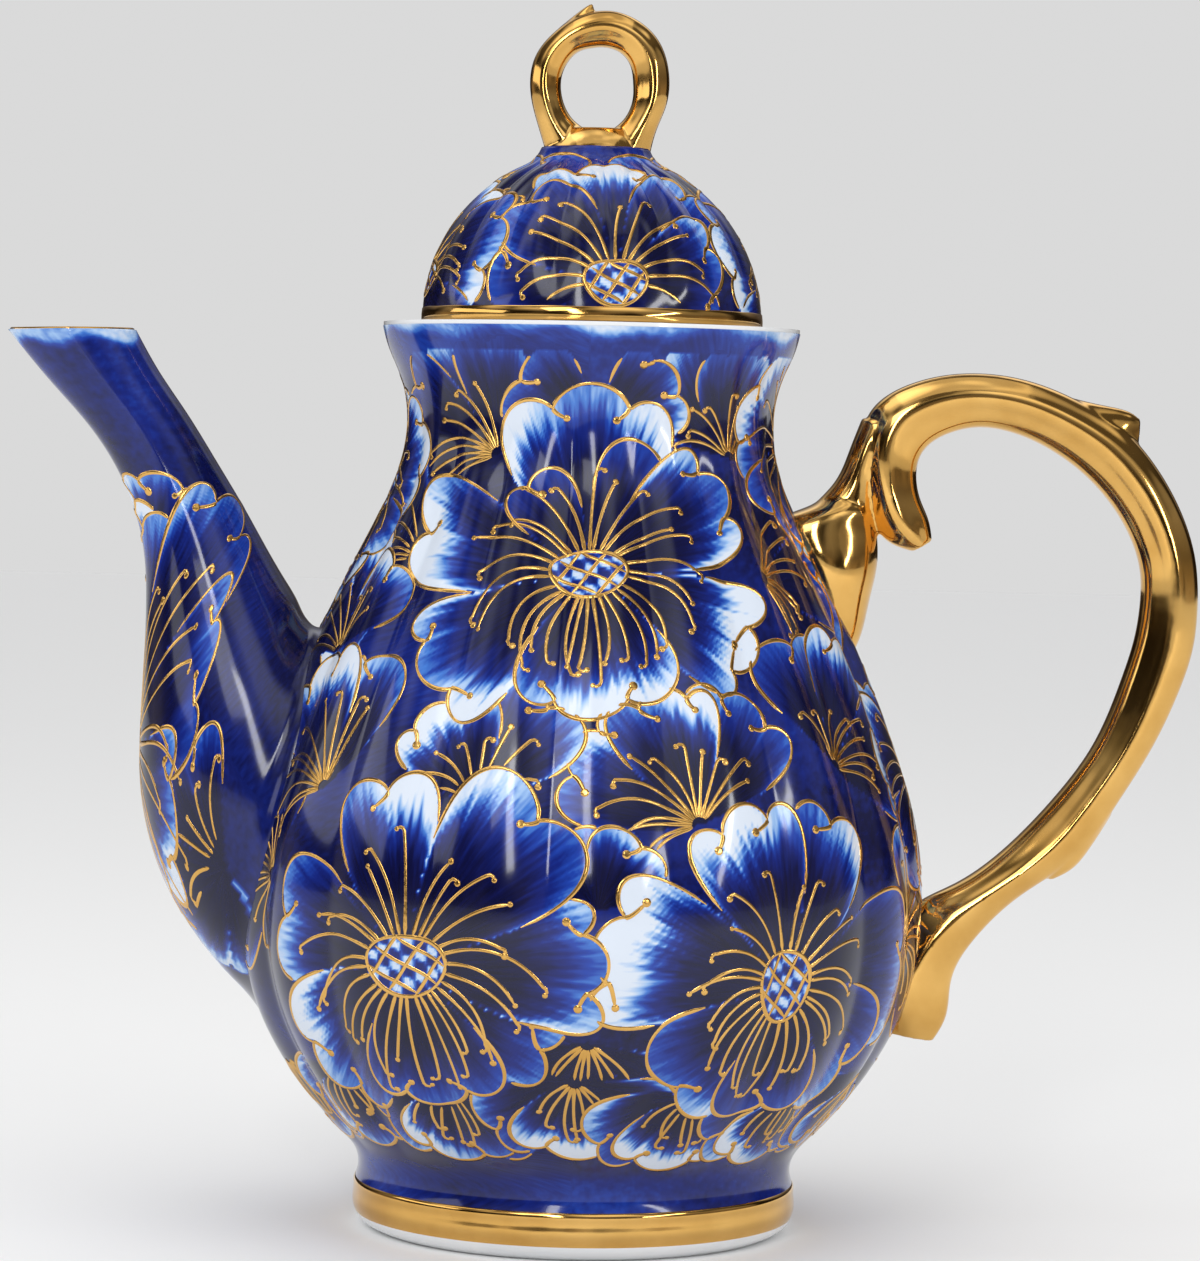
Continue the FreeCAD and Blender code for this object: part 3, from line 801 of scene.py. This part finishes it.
def spout_inside(verts, columns, rows):
    """The lip and the bore: every fourth row of the outside pulled in by the wall, joined over the lip."""
    ring = verts.reshape(rows, columns, 3)
    outer = ring[rows // 4:][::-4]
    centre = outer.mean(axis=1, keepdims=True)
    away = outer - centre
    inner = centre + away * (1 - WALL / np.maximum(np.linalg.norm(away, axis=2, keepdims=True), 1))
    lip = (outer[:1] + inner[:1]) / 2 + np.array([0, 0, 0.3])
    inside = np.concatenate([lip, inner])
    inside_verts = inside.reshape(-1, 3)
    faces = grid_faces(len(inside), columns, first=len(verts))
    return inside_verts, np.concatenate([bridge(len(verts), columns), faces]), np.ones(len(inside_verts))


def dome_crown(verts, columns, rows):
    """The flat crown inside the dome's last row of points, under the finial."""
    edge = verts.reshape(rows, columns, 3)[-1]
    return edge * [0.3, 0.3, 1], bridge(len(verts), columns), np.full(columns, 0.3)


def sunk_into_body(verts):
    """Pull points that lie far inside the pot's wall back out to just under its surface."""
    r = np.hypot(verts[:, 0], verts[:, 1])
    least = np.interp(verts[:, 2], body_skin.z, body_skin.r) - HANDLE_SINK
    inside = (r < least) & (verts[:, 2] < RIM_Z)
    scale = np.where(inside, least / np.maximum(r, 1e-6), 1.0)
    verts[:, :2] *= scale[:, None]
    return verts


BODY_FIELD = (17.5, 178.6)   # heights that the body's petals and gold lines keep to
painted_piece("painted_body", body_skin, BODY_FLOWERS, body_ground, BODY_FIELD, "pot",
              int(2 * math.pi * BELLY_R / STEP))
painted_piece("painted_dome", dome_skin, DOME_FLOWERS, dome_ground, (0, 60), "lid",
              int(2 * math.pi * LID_R / STEP), dome_crown)
painted_piece("painted_spout", spout_skin, SPOUT_FLOWERS, spout_ground, (0, 130), "pot",
              int(100 / STEP), spout_inside, ("spout_root", "spout_neck"))

GOLD_WORK = [("body_gold_lines", body_skin, BODY_FLOWERS, *BODY_FIELD, "pot"),
             ("dome_gold_lines", dome_skin, DOME_FLOWERS, 2.5, 50.0, "lid"),
             ("spout_gold_lines", spout_skin, SPOUT_FLOWERS, 20.0, 150.0, "pot")]
for name, skin, flowers, low, high, body in GOLD_WORK:
    lines = GoldLines(skin, low, high)
    draw_outlines(lines, flowers)
    draw_strokes(lines, flowers)
    draw_hearts(lines, flowers)
    lines.build(name, body)


# ---- foot and gilt bands ---------------------------------
foot_outer = spline([(41.5, 0.25), (44.2, 2.0), (FOOT_R - 0.1, 5.0), (44.7, 8.7), (43.9, FOOT_TOP)], 26)
foot_outline = [(37.6, 0.25), (38.2, 0.0), (40.8, 0.0)] + foot_outer.tolist() + [(36.5, FOOT_TOP)]
make_object("foot", *lathe(foot_outline), "pot", "clear_glaze", white, ("foot_ring",))

band = spline([(44.0, 1.9), (44.5, 2.6), (FOOT_R + 0.1, 5.2), (45.2, 8.2), (45.05, 9.7), (44.7, 10.1)], 22)
band_outline = band.tolist() + [(r - 0.6, z) for r, z in band[::-1]]
make_object("foot_gilding", *lathe(band_outline), "pot", "gilding", gold, ("foot_gilt_band",))

dome_edge = [(LID_R + 0.1, LID_Z + 0.1), (LID_R + 0.35, LID_Z + 0.5), (LID_R + 0.35, LID_Z + 1.6),
             (LID_R + 0.22, LID_Z + 2.8), (LID_R - 0.1, LID_Z + 3.2), (LID_R - 0.6, LID_Z + 3.0),
             (LID_R - 0.6, LID_Z + 0.1)]
make_object("lid_edge_gilding", *lathe(dome_edge), "lid", "gilding", gold, ("lid_gilt_band",))


# ---- handle and finial -----------------------------------
def bar_mesh(sections, shape, spacing=0.9):
    """A closed bar through (outer x, z, inner x, z, half-width) sections with the given cross-section."""
    table = np.array(sections, float)
    middle = (table[:, 0:2] + table[:, 2:4]) / 2
    length = np.linalg.norm(np.diff(middle, axis=0), axis=1).sum()
    fine = spline(table, int(length / spacing))
    outline = np.array(shape)
    p, q = outline[:, 0], outline[:, 1]
    mid = (fine[:, 0:2] + fine[:, 2:4]) / 2
    half = (fine[:, 0:2] - fine[:, 2:4]) / 2
    x = mid[:, 0, None] + half[:, 0, None] * p
    z = mid[:, 1, None] + half[:, 1, None] * p
    y = fine[:, 4, None] * q
    verts = np.stack([x, y, z], -1).reshape(-1, 3)
    rows, columns = len(fine), len(outline)
    faces = grid_faces(rows, columns).tolist()
    faces += [list(range(columns)), list(range((rows - 1) * columns, rows * columns))[::-1]]
    return verts, faces


def mirrored(half_shape, count=40):
    """A closed cross-section from its +Y half, given from the outer edge round to the inner edge."""
    half = spline(half_shape, count)
    return np.concatenate([half, (half * [1, -1])[::-1][1:-1]]).tolist()


def joined(meshes):
    """The points and faces of several meshes as one."""
    verts, faces, count = [], [], 0
    for v, f in meshes:
        verts.append(v)
        faces += [[i + count for i in face] for face in f]
        count += len(v)
    return np.concatenate(verts), faces


def melted(piece, voxel, rounds):
    """Fuse overlapping closed forms into one skin and soften it, as cast and glazed clay is."""
    remesh = piece.modifiers.new("fuse", "REMESH")
    remesh.mode = "VOXEL"
    remesh.voxel_size = voxel * MM
    remesh.adaptivity = 0
    soften = piece.modifiers.new("soften", "SMOOTH")
    soften.factor = 0.5
    soften.iterations = rounds
    graph = bpy.context.evaluated_depsgraph_get()
    mesh = bpy.data.meshes.new_from_object(piece.evaluated_get(graph))
    piece.modifiers.clear()
    material = piece.data.materials[0]
    piece.data = mesh
    mesh.materials.clear()
    mesh.materials.append(material)
    mesh.shade_smooth()


# outer edge, a soft ridge along the face, a flatter inner bevel, inner edge
BAR_SHAPE = mirrored([(1, 0), (0.95, 0.42), (0.62, 0.78), (0.22, 0.99), (0.02, 0.99), (-0.35, 0.80),
                      (-0.72, 0.60), (-0.95, 0.32), (-1, 0)])
ROUND_SHAPE = [(math.cos(t), math.sin(t)) for t in np.linspace(0, 2 * math.pi, 48, endpoint=False)]
BAR_SECTIONS = [(66.5, 139.9, 70.4, 142.2, 3.2), (60.5, 142.5, 69.6, 146.4, 5.6),
                (57.0, 150.0, 67.6, 151.2, 6.3), (55.4, 158.6, 67.0, 157.4, 6.5),
                (57.2, 168.2, 69.4, 161.8, 6.5), (65.6, 174.2, 73.8, 164.3, 6.5),
                (77.6, 176.5, 79.8, 165.5, 6.6), (90.0, 175.0, 86.8, 164.4, 6.6),
                (101.0, 170.6, 94.0, 161.3, 6.6), (109.0, 165.6, 100.6, 156.8, 6.6),
                (115.6, 158.4, 106.6, 150.6, 6.6), (121.0, 149.2, 111.0, 143.4, 6.6),
                (124.1, 139.9, 113.1, 136.6, 6.6), (124.9, 130.4, 113.2, 129.6, 6.6),
                (124.2, 121.4, 112.2, 122.8, 6.5), (121.6, 112.6, 110.0, 115.2, 6.5),
                (115.4, 99.0, 104.4, 101.2, 6.5), (109.0, 88.3, 97.4, 91.0, 6.4),
                (102.0, 78.6, 88.8, 81.4, 6.4), (88.6, 68.6, 76.6, 71.9, 6.3),
                (80.6, 60.2, 68.0, 67.0, 6.6), (76.4, 51.4, 60.0, 56.0, 6.8), (75.6, 44.6, 58.0, 47.0, 6.0),
                (73.0, 39.6, 62.0, 41.5, 3.6)]
BUD_SECTIONS = [(54.2, 117.6, 50.0, 117.6, 1.4), (56.2, 122.0, 47.0, 122.0, 5.2),
                (58.0, 130.0, 43.0, 130.0, 8.4), (59.4, 138.0, 39.0, 138.0, 9.3),
                (59.0, 144.5, 37.0, 144.5, 8.4), (57.6, 149.2, 46.0, 149.2, 6.2),
                (55.6, 152.0, 49.0, 152.0, 3.0)]
STEM_SECTIONS = [(58.5, 140.0, 40.0, 143.0, 6.0), (58.8, 147.0, 46.0, 149.0, 5.6),
                 (58.5, 152.0, 50.4, 154.0, 5.2), (59.0, 158.0, 53.0, 160.0, 5.2),
                 (62.0, 164.0, 55.6, 167.0, 5.0)]
SPUR_SECTIONS = [(98.0, 172.0, 99.5, 160.0, 5.0), (104.6, 170.6, 104.0, 158.0, 4.4),
                 (110.0, 169.4, 108.0, 156.0, 3.0), (112.4, 167.8, 111.6, 157.0, 1.2)]
KNUCKLE_SECTIONS = [(108.6, 87.0, 98.0, 88.0, 5.0), (104.0, 79.4, 94.0, 82.0, 4.6),
                    (100.6, 75.4, 92.0, 78.6, 3.6), (96.6, 73.2, 90.0, 76.6, 2.6)]
RING_SECTIONS = [(-11.4, 219.2, -2.0, 223.6, 5.4), (-13.4, 225.4, -6.4, 226.6, 4.7),
                 (-15.0, 232.4, -8.7, 232.2, 4.4), (-14.2, 238.6, -8.1, 236.6, 4.4),
                 (-10.8, 243.4, -5.8, 239.7, 4.4), (-5.4, 247.2, -2.8, 240.8, 4.4),
                 (1.2, 248.4, 0.3, 241.0, 4.4), (6.6, 246.6, 3.2, 240.0, 4.4),
                 (10.8, 242.8, 5.2, 237.6, 4.4), (13.1, 236.6, 5.9, 234.0, 4.4),
                 (12.9, 230.0, 5.8, 230.2, 4.4), (11.0, 224.8, 4.2, 226.6, 4.7),
                 (9.6, 219.2, 0.6, 223.6, 5.4)]
LEAF_SECTIONS = [(-9.6, 244.6, -6.6, 240.6, 2.6), (-6.2, 247.5, -4.0, 242.0, 2.6),
                 (-3.4, 249.6, -2.6, 243.5, 1.6), (-2.7, 249.9, -1.0, 244.0, 1.0)]
FINIAL_FOOT_SECTIONS = [(10.9, 219.6, -10.9, 219.6, 8.0), (10.2, 221.4, -10.2, 221.4, 7.2),
                        (7.4, 224.6, -7.4, 224.6, 4.6)]


def finial_parts():
    """The ring with its leaf tip, moved onto the lid's axis, and the round foot below them."""
    parts = []
    for sections, shape in ((RING_SECTIONS, BAR_SHAPE), (LEAF_SECTIONS, ROUND_SHAPE)):
        centred = [(a + FINIAL_SHIFT, b, c + FINIAL_SHIFT, d, e) for a, b, c, d, e in sections]
        parts.append(bar_mesh(centred, shape, 0.5))
    parts.append(bar_mesh(FINIAL_FOOT_SECTIONS, ROUND_SHAPE, 0.5))
    return parts


handle_parts = [bar_mesh(BAR_SECTIONS, BAR_SHAPE)]
for sections in (BUD_SECTIONS, STEM_SECTIONS, SPUR_SECTIONS, KNUCKLE_SECTIONS):
    handle_parts.append(bar_mesh(sections, ROUND_SHAPE))
handle_verts, handle_faces = joined(handle_parts)
handle_verts = sunk_into_body(handle_verts)
handle = make_object("gilt_handle", handle_verts, handle_faces, "pot", "gilding", gold, ("handle",))
melted(handle, 0.42, 4)
finial = make_object("gilt_finial", *joined(finial_parts()), "lid", "gilding", gold, ("lid_finial",))
melted(finial, 0.32, 3)


# ---- spout lip -------------------------------------------
def lip_gilding(count=120):
    """A thin round line of gold along the spout's mouth, 0.7 mm wide and 0.9 mm high."""
    u = np.arange(count) * 360 / count
    outer = spout_skin.point(u, np.full(count, spout_skin.v[-1]))
    centre = outer.mean(axis=0)
    away = outer - centre
    length = np.linalg.norm(away, axis=1, keepdims=True)
    rings = []
    for turn in np.radians(np.arange(8) * 45):
        reach = 1 + (0.35 * math.cos(turn) - 0.7) / length
        rings.append(centre + away * reach + [0, 0, 0.45 * math.sin(turn)])
    verts = np.concatenate(rings)
    faces = grid_faces(9, count) % len(verts)
    make_object("spout_lip_gilding", verts, faces, "pot", "gilding", gold, ("spout_gilt_lip",))


lip_gilding()

# CAD nodes that stay in view inside and under the skins
for node in ("pot_base", "pot_belly", "pot_shoulder", "pot_neck", "spout_strainer",
             "lid_dome", "lid_flange"):
    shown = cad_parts[node]
    shown.data.materials.clear()
    shown.data.materials.append(white)


# ---- studio ----------------------------------------------
def floor():
    """A wide pale floor, 8 m across."""
    mesh = bpy.data.meshes.new("floor")
    corners = [(-4, -4, 0), (4, -4, 0), (4, 4, 0), (-4, 4, 0)]
    mesh.from_pydata(corners, [], [(0, 1, 2, 3)])
    plane = bpy.data.objects.new("floor", mesh)
    bpy.context.scene.collection.objects.link(plane)
    material, nodes, links, shader = new_material("pale_floor")
    shader.inputs["Base Color"].default_value = (0.90, 0.90, 0.90, 1)
    shader.inputs["Roughness"].default_value = 0.8
    shader.inputs["Specular IOR Level"].default_value = 0.2
    mesh.materials.append(material)
    plane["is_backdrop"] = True


def softbox(name, place, aim, width, height, power):
    """A rectangular lamp, in metres and watts, turned towards aim."""
    light = bpy.data.lights.new(name, "AREA")
    light.shape = "RECTANGLE"
    light.size, light.size_y, light.energy = width, height, power
    lamp = bpy.data.objects.new(name, light)
    lamp.location = place
    lamp.rotation_euler = (Vector(aim) - Vector(place)).to_track_quat("-Z", "Z").to_euler()
    bpy.context.scene.collection.objects.link(lamp)


def colour_sockets(sockets):
    """The colour sockets of a mix node, which also has sockets for other kinds of value."""
    return [socket for socket in sockets if socket.type == "RGBA"]


def studio_world():
    """An even pale room. Glaze and gold mirror a darker one with bright patches, to keep their contrast."""
    world = bpy.data.worlds.new("studio")
    world.use_nodes = True
    nodes, links = world.node_tree.nodes, world.node_tree.links
    background = nodes["Background"]
    place = nodes.new("ShaderNodeTexCoord")
    split = nodes.new("ShaderNodeSeparateXYZ")
    ramp = colour_ramp(nodes, [(0.0, (0.20, 0.17, 0.14)), (0.15, (0.10, 0.09, 0.085)),
                               (0.40, (0.22, 0.22, 0.23)), (0.62, (0.9, 0.91, 0.93)), (1.0, (1.1, 1.1, 1.1))])
    patches = add(nodes, "ShaderNodeTexNoise", Scale=1.7, Detail=1.0)
    shade = colour_ramp(nodes, [(0.42, (0.12, 0.11, 0.10)), (0.60, (1.5, 1.5, 1.5))])
    room = add(nodes, "ShaderNodeMix", data_type="RGBA", blend_type="MULTIPLY")
    room.inputs[0].default_value = 1.0
    links.new(place.outputs["Generated"], split.inputs[0])
    links.new(place.outputs["Generated"], patches.inputs["Vector"])
    links.new(split.outputs["Z"], ramp.inputs["Fac"])
    links.new(patches.outputs["Fac"], shade.inputs["Fac"])
    first, second = colour_sockets(room.inputs)
    links.new(ramp.outputs["Color"], first)
    links.new(shade.outputs["Color"], second)
    rays = nodes.new("ShaderNodeLightPath")
    last, = colour_sockets(room.outputs)
    for ray, level in (("Is Diffuse Ray", 0.80), ("Is Camera Ray", 0.70)):
        choose = add(nodes, "ShaderNodeMix", data_type="RGBA")
        first, second = colour_sockets(choose.inputs)
        second.default_value = (level, level, level, 1)
        links.new(rays.outputs[ray], choose.inputs[0])
        links.new(last, first)
        last, = colour_sockets(choose.outputs)
    links.new(last, background.inputs["Color"])
    background.inputs["Strength"].default_value = 1.0
    bpy.context.scene.world = world


def camera():
    """The photograph's view: slightly above the pot's middle, rolled by about a degree."""
    place = Vector((0.0030, -0.9240, 0.1623))
    aim = Vector((0.0030, 0.0, 0.12235))
    roll = math.radians(1.245)
    data = bpy.data.cameras.new("camera")
    data.lens = 129.1
    data.sensor_width = 36
    back = (place - aim).normalized()
    right = Vector((1, 0, 0))
    up = back.cross(right).normalized()
    right, up = right * math.cos(roll) + up * math.sin(roll), up * math.cos(roll) - right * math.sin(roll)
    rig = bpy.data.objects.new("camera", data)
    turn = Matrix((right, up, back)).transposed().to_4x4()
    rig.matrix_world = Matrix.Translation(place) @ turn
    bpy.context.scene.collection.objects.link(rig)
    bpy.context.scene.camera = rig


floor()
studio_world()
camera()
bpy.context.scene.view_settings.view_transform = "Standard"
middle = (0, 0, 0.11)
softbox("window_left", (-0.20, -1.00, 0.50), middle, 0.11, 0.50, 1.9)
softbox("window_right", (0.80, -0.70, 0.40), middle, 0.07, 0.6, 1.8)
softbox("window_wide", (-0.45, -1.05, 0.85), middle, 0.45, 0.45, 2.0)
softbox("overhead", (0, -0.1, 1.1), middle, 0.9, 0.9, 1.4)
softbox("side_left", (-1.0, -0.1, 0.4), middle, 0.25, 0.9, 1.2)

low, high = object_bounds()
({"cad": [list(map(float, CAD_LOW)), list(map(float, CAD_HIGH))],
           "visual": [list(map(float, low)), list(map(float, high))]})
